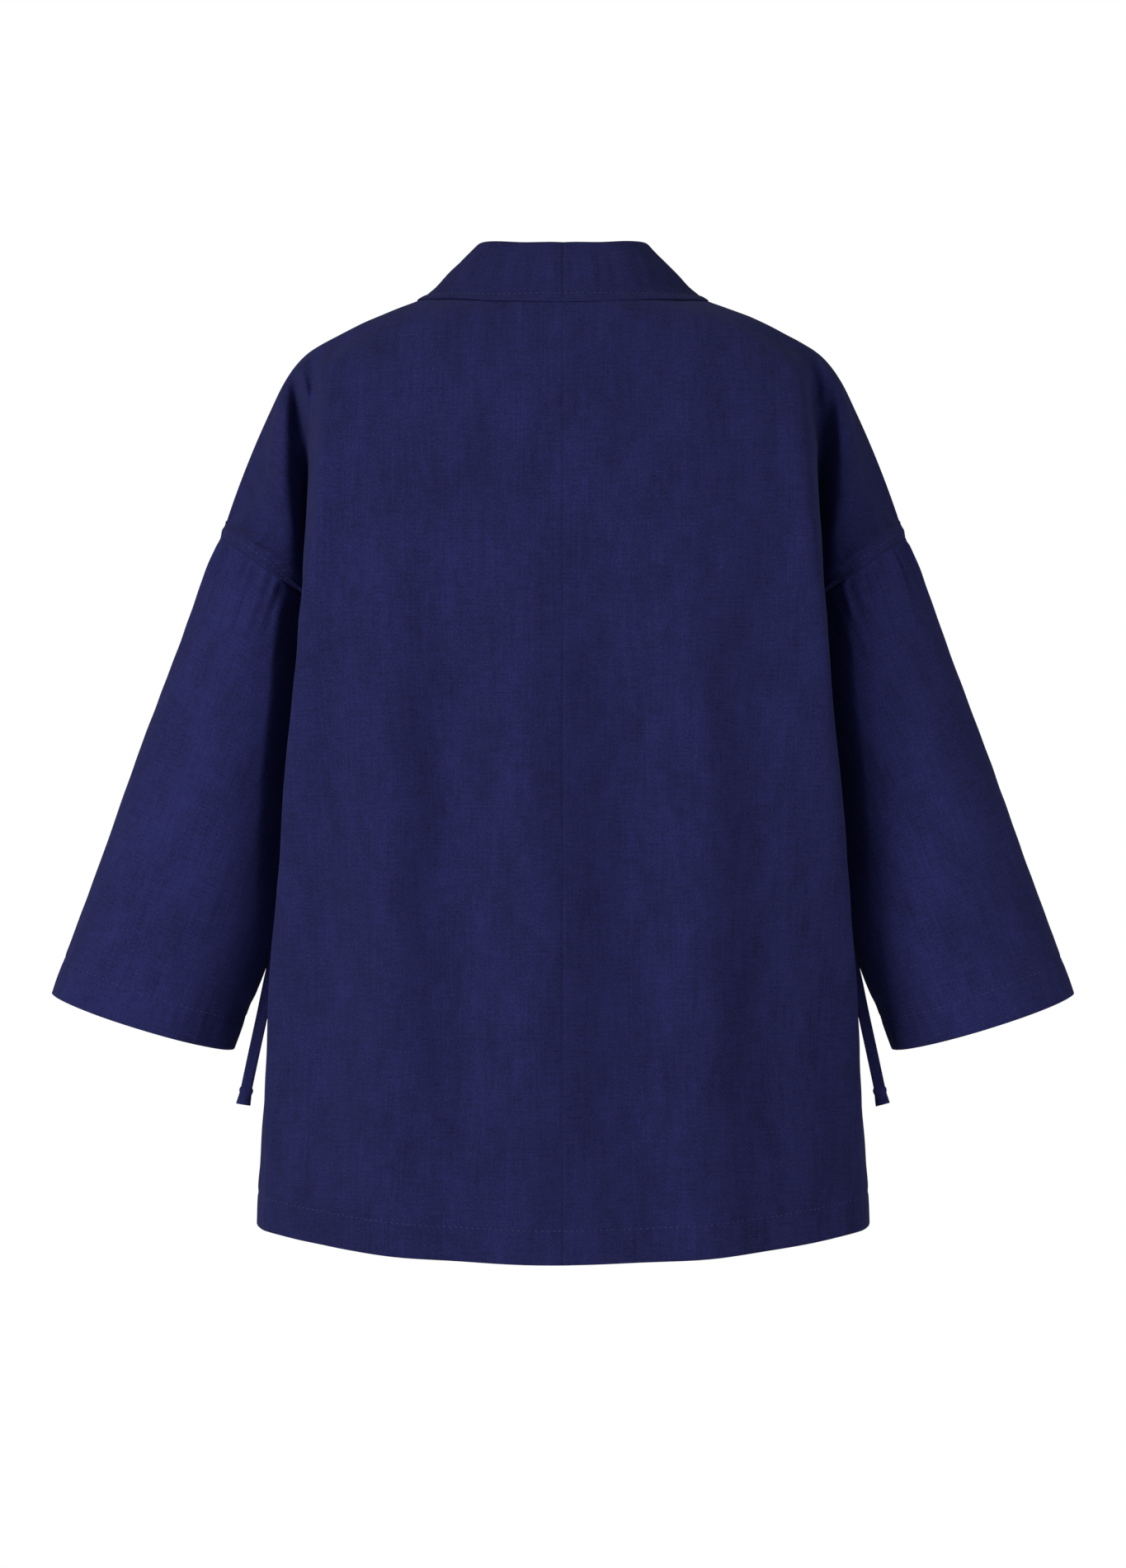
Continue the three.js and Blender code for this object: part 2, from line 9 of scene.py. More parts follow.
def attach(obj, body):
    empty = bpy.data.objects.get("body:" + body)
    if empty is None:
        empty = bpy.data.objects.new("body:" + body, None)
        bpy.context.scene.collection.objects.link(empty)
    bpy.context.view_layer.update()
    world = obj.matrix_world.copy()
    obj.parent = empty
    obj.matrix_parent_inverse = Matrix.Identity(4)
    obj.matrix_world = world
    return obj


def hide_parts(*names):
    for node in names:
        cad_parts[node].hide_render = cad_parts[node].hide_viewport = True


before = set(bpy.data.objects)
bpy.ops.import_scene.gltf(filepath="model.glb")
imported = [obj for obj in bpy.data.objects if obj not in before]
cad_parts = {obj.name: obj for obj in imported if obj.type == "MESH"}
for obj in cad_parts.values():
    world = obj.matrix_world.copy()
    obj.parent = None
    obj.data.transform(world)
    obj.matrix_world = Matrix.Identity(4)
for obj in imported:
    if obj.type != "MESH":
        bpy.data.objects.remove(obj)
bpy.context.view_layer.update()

MM = 0.001
LEFT, RIGHT = 1, -1
WORDS = {LEFT: "left", RIGHT: "right"}


# ---- small helpers ----
def table(columns, *rows):
    """Named columns of numbers, from the top of the jacket down."""
    return dict(zip(columns.split(), np.array(rows, float).T))


def mix(a, b, share):
    return a + (b - a) * share


def ease(share):
    share = np.clip(share, 0, 1)
    return share * share * (3 - 2 * share)


def bump(distance, width):
    return np.exp(-((distance / width) ** 2))


def unit(vectors):
    return vectors / np.maximum(np.linalg.norm(vectors, axis=-1, keepdims=True), 1e-9)


def hermite(t, start, end, leave, arrive):
    return (
        (2 * t**3 - 3 * t**2 + 1) * start
        + (t**3 - 2 * t**2 + t) * leave
        + (3 * t**2 - 2 * t**3) * end
        + (t**3 - t**2) * arrive
    )


def value_at(columns, name, z):
    """One column of a table at heights z: smooth, and never past its neighbours."""
    heights, values = columns["z"][::-1], columns[name][::-1]
    rise = np.diff(values) / np.diff(heights)
    slope = np.concatenate([rise[:1], np.zeros(len(rise) - 1), rise[-1:]])
    same = np.flatnonzero(rise[:-1] * rise[1:] > 0)
    slope[same + 1] = 2 * rise[same] * rise[same + 1] / (rise[same] + rise[same + 1])
    z = np.clip(z, heights[0], heights[-1])
    i = np.clip(np.searchsorted(heights, z, "right") - 1, 0, len(rise) - 1)
    span = heights[i + 1] - heights[i]
    t = (z - heights[i]) / span
    return hermite(t, values[i], values[i + 1], slope[i] * span, slope[i + 1] * span)


def curve(points, places):
    """Points of a smooth curve through the given ones. A place counts spans from the first."""
    points = np.asarray(points, float)
    places = np.asarray(places, float)
    ends = np.vstack([2 * points[0] - points[1], points, 2 * points[-1] - points[-2]])
    i = np.clip(places.astype(int), 0, len(points) - 2)
    p0, p1, p2, p3 = (ends[i + k] for k in range(4))
    root = lambda a, b: np.sqrt(np.linalg.norm(b - a, axis=1))[:, None]
    d0, d1, d2 = root(p0, p1), root(p1, p2), root(p2, p3)
    leave = ((p1 - p0) / d0 - (p2 - p0) / (d0 + d1) + (p2 - p1) / d1) * d1
    arrive = ((p2 - p1) / d1 - (p3 - p1) / (d1 + d2) + (p3 - p2) / d2) * d1
    return hermite((places - i)[:, None], p1, p2, leave, arrive)


def through(lines, knots, places):
    """A smooth surface through whole lines of points, read at places."""
    step = np.diff(knots).reshape((-1,) + (1,) * (lines.ndim - 1))
    rise = np.diff(lines, axis=0) / step
    middle = (rise[:-1] * step[1:] + rise[1:] * step[:-1]) / (step[1:] + step[:-1])
    slope = np.concatenate([rise[:1], middle, rise[-1:]])
    i = np.clip(np.searchsorted(knots, places, "right") - 1, 0, len(knots) - 2)
    t = ((places - knots[i]) / np.diff(knots)[i]).reshape((-1,) + (1,) * (lines.ndim - 1))
    return hermite(t, lines[i], lines[i + 1], slope[i] * step[i], slope[i + 1] * step[i])


def walked(points, axis):
    """Distance walked along an axis of a grid, at each point."""
    steps = np.linalg.norm(np.diff(points, axis=axis), axis=-1)
    start = np.zeros_like(np.take(steps, [0], axis=axis))
    return np.concatenate([start, np.cumsum(steps, axis=axis)], axis=axis)


def fine_places(knots, spacing):
    """Places that split each span evenly, about so far apart, and keep the knots."""
    parts = [
        np.linspace(a, b, max(1, round((b - a) / spacing)), endpoint=False)
        for a, b in zip(knots, knots[1:])
    ]
    return np.concatenate(parts + [knots[-1:]])


def with_seam(places, seam):
    """The same places and a few more next to a seam, for its groove and its rolled edge."""
    inwards = np.sign(places.mean() - seam)
    return np.unique(np.round(np.concatenate([places, seam + inwards * SEAM_PLACES]), 4))


def waves(u, v, seed, length, count=7):
    """Soft irregular waves between about -1 and 1, about so long."""
    rng = np.random.default_rng(seed)
    total = np.zeros_like(u)
    for _ in range(count):
        turn, phase = rng.uniform(0, math.tau, 2)
        size = length * rng.uniform(0.7, 1.6)
        total += np.sin((u * math.cos(turn) + v * math.sin(turn)) * math.tau / size + phase)
    return total / math.sqrt(count)


# ---- the jacket's sizes ----
SEAM = -0.03  # the pieces lap by a hair at a seam, so that no light comes through
CLOTH = 1.1  # the cloth, a little thicker than real so that its edges show
HEM_CLOTH = 1.7  # where it is turned up
FINE = 3.0  # spacing of the cloth's mesh
SEAM_PLACES = np.array([0.5, 1.0, 1.7])  # and of the lines next to a seam
STILL_EDGE = 16.0  # so close to a seam the cloth lies still

ARMHOLE_TOP = np.array([257.0, 0.0, -177.0])
ARMHOLE_BOTTOM = np.array([145.0, 0.0, -255.0])
ARMHOLE_DEPTH = 62.0
CUFF_OUTER = np.array([385.0, -12.0, -519.0])
CUFF_INNER = np.array([248.5, -12.0, -562.0])
CUFF_DEPTH = 67.0
PINCH, PINCH_STARTS, PINCH_WIDTH = 0.38, 2.0, 25.0  # how the sleeve is squeezed beside the body
FOLD_STARTS = math.radians(84)  # place round the armhole where the cloth begins to fold
FOLD_UNDER_ARM = math.radians(162)  # how sharply it is folded under the arm
BESIDE_ARMHOLE = 10.0  # length of the body's cloth that is held square to the seam
BESIDE_FROM = math.radians(6)

NECK_SIDE = np.array([101.5, 0.0, 3.5])
NECK_BACK = np.array([0.0, 80.0, -7.0])
NECK_FRONT = np.array([101.0, -16.0, -4.0])  # where the front's cut edge begins
SHOULDER_ROWS = [-20, -40, -58, -83, -114, -145]
ARMHOLE_ROWS = 9  # from the armhole's top to its bottom
LOWER_ROWS = 9  # and from there to the hem
HEM_SIDE, HEM_DIP, ARMHOLE_DIP = -689.0, 13.0, 20.0
TOP_ROW = 1 + len(SHOULDER_ROWS)
BOTTOM_ROW = TOP_ROW + ARMHOLE_ROWS
CROWN = 2.8  # the back stays level and falls off near the ridges
FOLD_GROWTH = 2.4  # a fold is full after one part in this of its length
FOLDS_EASE, EASED_SHARE = (-560.0, -685.0), 0.6  # towards the hem the folds lose this share
OVER_LAYER, OVER_FADE = 7.5, 40.0

# The body's left half at heights: depth of the back and of the front on the centre line, the ridge
# beside the arm, the trough behind it, a point on the arm or the flank, the shoulder or side seam.
SECTIONS = table(
    "z back front ridge_x ridge_y trough_x trough_y arm_x arm_y side",
    (4, 80, 20, 72, 56, 88, 38, 97, 20, 101),
    (-20, 90, 58, 110, 66, 135, 47, 150, 28, 158),
    (-40, 99, 74, 149, 67, 170, 42, 184, 28, 193.5),
    (-58, 105, 86, 168, 74, 190, 46, 200, 34, 208),
    (-83, 112, 97, 174.5, 83, 193, 40, 204, 41, 220.4),
    (-114, 118, 106, 178.5, 93, 191.5, 29, 204.5, 48, 234),
    (-145, 122, 112, 180.5, 99, 189.5, 22, 203.5, 52, 246),
    (-177, 124, 116, 183, 103, 188.5, 24, 202, 54, 257),
    (-200, 125, 118, 185, 105, 187.5, 30, 199, 53, 265.5),
    (-216, 125, 120, 186, 106, 185, 39, 194, 47, 271.5),
    (-228, 125, 120, 187.2, 106, 183, 47, 187, 42, 276),
    (-239, 126, 121, 188.2, 106, 183, 50, 179, 42, 145),
    (-250, 126, 121, 189.1, 106, 181, 48, 171, 36, 145),
    (-258, 126, 122, 189.8, 106, 178, 46, 164, 30, 145),
    (-265, 127, 122, 190.5, 106, 176, 45, 159, 25, 145.2),
    (-285, 127, 123, 192.2, 105, 177, 45, 158, 24, 147),
    (-305, 127, 123, 194, 104, 180, 46, 162, 24, 151),
    (-345, 128, 124, 198.5, 101, 187, 48, 172, 24, 161),
    (-400, 130, 127, 203, 93, 197, 48, 188, 24, 180),
    (-455, 132, 130, 208, 81, 206, 45, 201, 23, 197.5),
    (-498, 134, 132, 212.5, 70, 212, 40, 209, 20, 207),
    (-536, 135, 134, 215, 62, 216, 36, 215, 18, 214),
    (-579, 137, 136, 216.5, 58, 220, 33, 220.7, 16, 220.5),
    (-640, 139, 139, 217, 56, 224.5, 31, 226.3, 15, 226.5),
    (-710, 142, 142, 218, 56, 227.5, 30, 230, 14, 230.8),
)
# The left front: free edge of its band and edge of its cloth.
FRONT_EDGE = table(
    "z free panel",
    (-4, 59, 101),
    (-20, 53, 99),
    (-60, 40, 88.5),
    (-120, 20, 69),
    (-175, 0, 49),
    (-240, -25, 24.3),
    (-320, -57, -8),
    (-400, -82, -34.5),
    (-480, -98, -51.5),
    (-560, -106, -59.8),
    (-640, -111, -65),
    (-710, -113, -67),
)
# Free edge of the collar band round the neck, from the centre back to the top of the front.
NECK_EDGE = table(
    "x y z",
    (0, 60, 35),
    (26, 58, 35.5),
    (48, 51, 37.3),
    (59.5, 37, 38.8),
    (65, 20, 38),
    (69, 2, 35),
    (67.5, -22, 20),
    (64, -45, 3),
    (56, -66, -19),
    (43.6, -84, -48),
)
# Soft vertical folds that grow towards the hem: place across the body at the top and at the hem,
# height at the hem, width, and the height on the body where each starts.
BACK_FOLDS = table(
    "top hem height width starts",
    (168, 176, -4, 13, -150),
    (130, 124, 9, 27, -110),
    (84, 76, -10, 26, -140),
    (30, 14, 10, 32, -150),
    (-36, -58, -10, 30, -140),
    (-92, -104, 9, 28, -140),
    (-136, -150, -8, 24, -120),
)
FRONT_FOLDS = table(
    "top hem height width starts",
    (140, 150, 5, 28, -200),
    (95, 100, -4, 26, -260),
    (-105, -118, -4, 26, -240),
    (-148, -162, 5, 28, -180),
)
# Short creases on the back beside the arms: ends across and up the body, width, height.
BACK_CREASES = table(
    "from_x from_z to_x to_z width height",
    (194.0, -34, 179.0, -84, 4.5, -9),
    (182.0, -64, 184.5, -205, 5.0, -12),
    (200.0, -46, 196.0, -112, 5.0, -11),
    (192.5, -46, 187.5, -104, 4.0, 5),
    (-184.5, -40, -187.0, -112, 5.5, -16),
    (-197.0, -66, -198.0, -128, 4.0, -3),
)
FRONT_CREASES = table(
    "from_x from_z to_x to_z width height",
    (184, -44, 182, -110, 3.6, 1.8),
    (-190, -44, -195, -90, 3.6, 1.6),
    (150, -150, 96, -215, 12, -1.4),
    (-150, -160, -104, -230, 12, -1.2),
)
TIE_ROUTE = table(
    "x z",
    (179.7, -396.8),
    (184.4, -395.6),
    (189.5, -404),
    (196.5, -428),
    (205, -455),
    (213, -480),
    (218, -498),
    (226, -536),
    (232.5, -566),
    (237.6, -590),
)

# ---- camera ----
CAMERA_DISTANCE = 2400.0
CAMERA_HEIGHT = -362.0
camera_data = bpy.data.cameras.new("camera")
camera_data.sensor_width = 36.0
camera_data.lens = 73.35  # the frame is 1900 high at 0.62 mm each, seen from 2400 mm
camera = bpy.data.objects.new("camera", camera_data)
camera.location = (0, CAMERA_DISTANCE * MM, CAMERA_HEIGHT * MM)
camera.rotation_euler = (math.radians(90), 0, math.radians(180))
bpy.context.scene.collection.objects.link(camera)
bpy.context.scene.camera = camera

# ---- the forms that the cloth takes ----
PANEL_SPANS = {"centre": 7, "ridge": 3, "trough": 2, "arm": 1, "over": 1, "beside": 1}
SHARES_AT_ARMHOLE = {"ridge": 0.25, "trough": 0.35, "arm": 0.5}
SHARES_AT_HEM = {"ridge": 0.9, "trough": 0.95, "arm": 0.98}
BESIDE_SHARE = 0.9
ARM_ROUND = 0.12  # the cloth over the arm bulges by this share of its width
INTO_FOLD = 0.85  # below the arm the cloth turns from the armhole into the fold


def sleeve_point(share, angle):
    """share is 0 at the armhole and 1 at the cuff; the angle goes from the top to the back."""
    share, angle = np.asarray(share, float)[..., None], np.asarray(angle, float)[..., None]
    outer = mix(ARMHOLE_TOP, CUFF_OUTER, share)
    inner = mix(ARMHOLE_BOTTOM, CUFF_INNER, share)
    point = mix(inner, outer, (1 + np.cos(angle)) / 2)
    past_ridge = point[..., :1] - value_at(SECTIONS, "ridge_x", point[..., 2:])
    open_share = ease((past_ridge + PINCH_STARTS) / PINCH_WIDTH)
    slim = mix(mix(PINCH, 1, ease((share - 0.35) / 0.6)), 1, open_share)
    depth = mix(ARMHOLE_DEPTH, CUFF_DEPTH, share) * np.sin(angle) * slim
    return point + depth * np.array([0, 1, 0])


def armhole_frame(angle):
    """At the armhole seam: across goes from sleeve to body, body along the body's cloth."""
    angle = np.asarray(angle, float)
    start = sleeve_point(0, angle)
    along = unit(sleeve_point(0, angle + 0.01) - sleeve_point(0, angle - 0.01))
    down = sleeve_point(1, angle) - start
    down = unit(down - along * np.sum(down * along, axis=-1, keepdims=True))
    outward = np.cross(down, along)
    opened = ease((np.abs(angle) - FOLD_STARTS) / (math.pi - FOLD_STARTS))
    fold = (FOLD_UNDER_ARM * opened)[..., None]
    across = outward * np.sin(fold / 2) - down * np.cos(fold / 2)
    normal = outward * np.cos(fold / 2) + down * np.sin(fold / 2)
    body = outward * np.sin(fold) - down * np.cos(fold)
    return start, across, normal, body


def fold_height(folds, x, z):
    height = 0
    for top, hem, most, width, starts in zip(*folds.values()):
        down = np.maximum((z - starts) / (HEM_SIDE - starts), 0)
        grown = ease(down * FOLD_GROWTH)
        height = height + most * grown * bump(x - mix(top, hem, down), width)
    low = ease((z - FOLDS_EASE[0]) / (FOLDS_EASE[1] - FOLDS_EASE[0]))
    return height * (1 - EASED_SHARE * low)


def crease_depth(creases, x, z):
    """How far the short creases beside the arms move the cloth out."""
    relief = 0
    for from_x, from_z, to_x, to_z, width, height in zip(*creases.values()):
        share = (z - from_z) / (to_z - from_z)
        fade = np.sin(math.pi * np.clip(share, 0, 1)) ** 0.8
        relief = relief + height * fade * bump(x - mix(from_x, to_x, share), width)
    return relief


def front_scale(is_back, z):
    return 1 if is_back else value_at(SECTIONS, "front", z) / value_at(SECTIONS, "back", z)


def depth_at(is_back, x, z):
    """Depth of the smooth cloth between the centre line and the ridge."""
    centre = value_at(SECTIONS, "back" if is_back else "front", z)
    ridge = value_at(SECTIONS, "ridge_y", z) * front_scale(is_back, z)
    across = np.minimum(np.abs(x) / value_at(SECTIONS, "ridge_x", z), 1)
    return mix(centre, ridge, across**CROWN)


def fold_depth(is_back, side, x, z):
    """How far the soft folds, and on the left front the layers under it, move the cloth out."""
    across = np.minimum(np.abs(x) / value_at(SECTIONS, "ridge_x", z), 1)
    folds = fold_height(BACK_FOLDS if is_back else FRONT_FOLDS, side * x, z)
    lift = 0 if is_back or side < 0 else np.where(across < 1, overlap_lift(x, z), 0)
    return folds * (1 - across**6) + lift


def overlap_lift(x, z):
    """How far the left front is lifted by the right one and its band."""
    return OVER_LAYER * (1 - ease((x + value_at(FRONT_EDGE, "free", z) - 4) / OVER_FADE))


def above_arm(z):
    """1 where the body's cloth lies over the arm, 0 below it and at the neck."""
    return ease((-30 - z) / 60) * (1 - ease((-205 - z) / 30))


def panel_row(is_back, centre_z, edge, down, beside=None):
    """One row of a body panel's left half, from its inner end to the shoulder, armhole or side."""
    outward = 1 if is_back else -1

    def share(name):
        return mix(SHARES_AT_ARMHOLE[name], SHARES_AT_HEM[name], down)

    def node(name):
        z = mix(centre_z, edge[2], share(name))
        depth = value_at(SECTIONS, name + "_y", z) * front_scale(is_back, z)
        return np.array([value_at(SECTIONS, name + "_x", z), outward * depth, z])

    ridge = node("ridge")
    start = 0 if is_back else value_at(FRONT_EDGE, "panel", centre_z)
    x = np.linspace(start, ridge[0], PANEL_SPANS["centre"] + 1)
    z = mix(centre_z, edge[2], share("ridge") * np.minimum(1, (x / ridge[0]) ** 2))
    inner = np.stack([x, outward * depth_at(is_back, x, z), z], axis=1)
    inner[-1] = ridge
    controls = [inner[-2], ridge, node("trough"), node("arm"), edge]
    if beside is None:
        beside = curve(controls, [BESIDE_SHARE * 4])[0]
    else:
        in_fold = ease((-196 - edge[2]) / 16) * (1 - ease((-240 - edge[2]) / 13))
        towards = mix(unit(beside - edge), unit(controls[2] - edge), INTO_FOLD * in_fold)
        beside = edge + unit(towards) * BESIDE_ARMHOLE
    chord = beside - controls[3]
    bulge = unit(np.array([-outward * chord[1], outward * chord[0], 0])) * np.linalg.norm(chord)
    over_arm = (controls[3] + beside) / 2 + bulge * ARM_ROUND * above_arm(centre_z)
    controls[4:4] = [over_arm, beside]
    spans = [PANEL_SPANS[name] for name in ("ridge", "trough", "arm", "over", "beside")]
    places = [1 + part + k / n for part, n in enumerate(spans) for k in range(1, n + 1)]
    return np.vstack([inner, curve(controls, places)])


def coarse_panel(is_back):
    outward = 1 if is_back else -1
    rows = []
    for z in SHOULDER_ROWS:
        edge = np.array([value_at(SECTIONS, "side", z), 0, z])
        rows.append(panel_row(is_back, z, edge, 0))
    for share in np.linspace(0, 1, ARMHOLE_ROWS + 1):
        edge = sleeve_point(0, outward * math.pi * share)
        round_it = outward * mix(BESIDE_FROM, math.pi - BESIDE_FROM, share)
        start, _, _, body = armhole_frame(round_it)
        centre_z = mix(ARMHOLE_TOP[2], ARMHOLE_BOTTOM[2] - ARMHOLE_DIP, share)
        beside = start + body * BESIDE_ARMHOLE
        rows.append(panel_row(is_back, centre_z, edge, 0, beside))
    for down in np.linspace(0, 1, LOWER_ROWS + 1)[1:]:
        z = mix(ARMHOLE_BOTTOM[2], HEM_SIDE, down)
        edge = np.array([value_at(SECTIONS, "side", z), 0, z])
        rows.append(panel_row(is_back, z - mix(ARMHOLE_DIP, HEM_DIP, down), edge, down))
    grid = np.array(rows)
    walk = walked(grid[:1], 1)[0]
    share = (walk / walk[-1])[:, None]
    if is_back:
        angle = share[:, 0] * math.pi / 2
        z = mix(NECK_BACK[2], NECK_SIDE[2], share[:, 0] ** 2)
        top = np.stack([NECK_SIDE[0] * np.sin(angle), NECK_BACK[1] * np.cos(angle), z], 1)
    else:
        top = mix(NECK_FRONT, NECK_SIDE, np.linspace(0, 1, grid.shape[1])[:, None])
    return np.concatenate([top[None], grid])


def finer(grid):
    """The same surface with a row and a column every few millimetres."""
    down = walked(grid, 0).mean(axis=1)
    out = walked(grid, 1).mean(axis=0)
    rows, columns = fine_places(down, FINE), with_seam(fine_places(out, FINE), out[-1])
    fine = through(grid, down, rows)
    fine = through(fine.transpose(1, 0, 2), out, columns).transpose(1, 0, 2)
    return fine, np.interp(rows, down, np.arange(len(down)))


def normals_of(points, flipped):
    across = np.gradient(points, axis=1)
    along = np.gradient(points, axis=0)
    return unit(np.cross(across, along)) * (-1 if flipped else 1)


def eased_to(normals, edge_normals, from_edge, reach=8.0):
    """Normals that become the seam's own close to it, so that the pieces on both sides agree."""
    return unit(mix(normals, edge_normals, (1 - ease(from_edge / reach))[..., None]))


def fitted_panel(is_back, side):
    """A body panel's left half; its outer end runs along the shoulder, armhole and side."""
    outward = 1 if is_back else -1
    coarse = coarse_panel(is_back)
    points, row_place = finer(coarse)
    edge_z = np.interp(row_place, np.arange(len(coarse)), coarse[:, -1, 2])
    edge = np.stack([value_at(SECTIONS, "side", edge_z), 0 * edge_z, edge_z], axis=1)
    in_armhole = (row_place >= TOP_ROW) & (row_place <= BOTTOM_ROW)
    angle = outward * math.pi * (row_place[in_armhole] - TOP_ROW) / ARMHOLE_ROWS
    start, across, seam_normal, _ = armhole_frame(angle)
    ahead = np.gradient(edge, axis=0)
    edge_normals = unit(np.stack([-ahead[:, 2], 0 * edge_z, ahead[:, 0]], axis=1))
    edge_normals[in_armhole] = seam_normal
    edge[in_armhole] = start + across * SEAM / 2
    edge[~in_armhole, 1] += outward * SEAM / 2
    from_edge = walked(points[:, ::-1], 1)[:, ::-1]
    near = 1 - ease(from_edge / 14)
    points += (edge - points[:, -1])[:, None] * near[..., None]
    outline = np.interp(-points[..., 2], -edge[:, 2], edge[:, 0])
    past = (points[..., 2] > ARMHOLE_TOP[2]) & (points[..., 0] > outline)
    points[..., 0] = np.where(past, outline, points[..., 0])
    if is_back:
        points[:, :, 0] += SEAM / 2 * (1 - ease(points[:, :, 0] / 5))
    folds = fold_depth(is_back, side, points[..., 0], points[..., 2])
    table_of_creases = BACK_CREASES if is_back else FRONT_CREASES
    creases = crease_depth(table_of_creases, side * points[..., 0], points[..., 2])
    below_neck = ease(np.arange(len(points)) / 8)[:, None]
    points[..., 1] += outward * (folds * below_neck + creases * ease(from_edge / STILL_EDGE))
    normals = normals_of(points, not is_back)
    if is_back:
        normals[:, 0] = unit(normals[:, 0] * [0, 1, 1])
    return points, eased_to(normals, edge_normals[:, None], from_edge), in_armhole


def line_across(points, normals, distance, at):
    """The line over the rows' direction where a distance, growing down the rows, has a value."""
    rows = np.arange(len(points))
    place = np.array([np.interp(at, column, rows) for column in distance.T])
    low = np.minimum(place.astype(int), len(points) - 2)
    share = (place - low)[:, None]
    column = np.arange(points.shape[1])
    line = mix(points[low, column], points[low + 1, column], share)
    return line, unit(mix(normals[low, column], normals[low + 1, column], share))


# ---- building a piece ----
def place_uv(mesh, places):
    """Cloth coordinates of the corners, in metres along and across the threads."""
    layer = mesh.uv_layers.new(name="cloth")
    corners = np.zeros(len(mesh.loops), int)
    mesh.loops.foreach_get("vertex_index", corners)
    layer.data.foreach_set("uv", (places.reshape(-1, 2)[corners] * MM).astype(np.float32).ravel())


def to_object(bm, name, material, places=None):
    mesh = bpy.data.meshes.new(name)
    bm.to_mesh(mesh)
    bm.free()
    if places is not None:
        place_uv(mesh, places)
    mesh.materials.append(material)
    mesh.shade_smooth()
    obj = bpy.data.objects.new(name, mesh)
    bpy.context.scene.collection.objects.link(obj)
    return obj


def cloth_object(name, side, points, places, flipped, material, thickness, most=None, thick=None):
    """A thin shell on a grid of points; thick, from 0 to 1, is where it grows to its most."""
    rows, columns = points.shape[:2]
    bm = bmesh.new()
    bmesh.ops.create_grid(bm, x_segments=columns - 1, y_segments=rows - 1, size=1)
    for vertex, point in zip(bm.verts, points.reshape(-1, 3) * [side * MM, MM, MM]):
        vertex.co = point
    if flipped != (side < 0):
        bmesh.ops.reverse_faces(bm, faces=bm.faces)
    obj = to_object(bm, name, material, places)
    solid = obj.modifiers.new("thickness", "SOLIDIFY")
    solid.thickness = thickness * MM
    solid.offset = -1
    even = obj.modifiers.new("the faces' own shading", "WEIGHTED_NORMAL")
    even.weight = 100
    if thick is not None:
        group = obj.vertex_groups.new(name="thick")
        for index, weight in enumerate(thick.ravel()):
            if weight > 0.01:
                group.add([index], float(weight), "ADD")
        solid.thickness = most * MM
        solid.vertex_group = group.name
        solid.thickness_vertex_group = thickness / most
    return obj


# ---- the cloth's relief: seams, puckers, creases, in millimetres out of the cloth ----
HEM_STITCH = 24.0  # from the hem's edge
CUFF_STITCH = 26.0
ARMHOLE_STITCH = 6.0
COLLAR_STITCH = 8.0
HEM_PUCKERS, CUFF_PUCKERS = 45.0, 48.0  # how far from the edge a turned hem pulls the cloth
TURNED_LIFT, STITCH_DEPTH = 0.15, 0.5
SEAM_WIDTH, SEAM_DEPTH = 0.9, 0.55
CENTRE_BACK = (2.5, 0.05)  # width and depth of the flat centre seam
UNDER_SLEEVE = (1.5, 0.4)
COLLAR_CENTRE = (1.4, 0.15)
SLEEVE_RADIUS = 68.0
SLEEVE_STEP = 2.4  # between the mesh lines round a sleeve
PUCKER_HEIGHT, PUCKER_PITCH, PUCKER_LENGTH = 3.0, 12, 32  # below the armhole seam
NO_PUCKERS_FROM, NO_PUCKERS_OVER = math.radians(110), math.radians(40)
FULLER_TOP, FULLER_INSIDE, FULLER_TAPER = 2.2, 5.2, 18  # where a sleeve's edges stand out


def ripple(along, seed, pitch):
    """Uneven ripples of about a pitch, from -1 to 1."""
    rng = np.random.default_rng(seed)
    total = 0
    for share in (0.7, 1.0, 1.45, 3.1):
        total = total + np.sin(along * math.tau / (pitch * share) + rng.uniform(0, math.tau))
    return np.tanh(total * 0.6)


def turned_up(from_edge, along, stitch, seed):
    """A turned-up edge: the stitches sink in and the cloth puckers between them and the edge."""
    pucker = ripple(along, seed, 11) * bump(from_edge - stitch * 0.55, stitch * 0.45)
    above = ripple(along, seed + 1, 13) * bump(from_edge - stitch - 5, 5)
    sunk = STITCH_DEPTH * bump(from_edge - stitch, 1.9)
    return 0.45 * pucker + 0.2 * above - sunk + TURNED_LIFT


def seam_relief(from_edge, width=SEAM_WIDTH, depth=SEAM_DEPTH):
    return -depth * bump(from_edge, width)


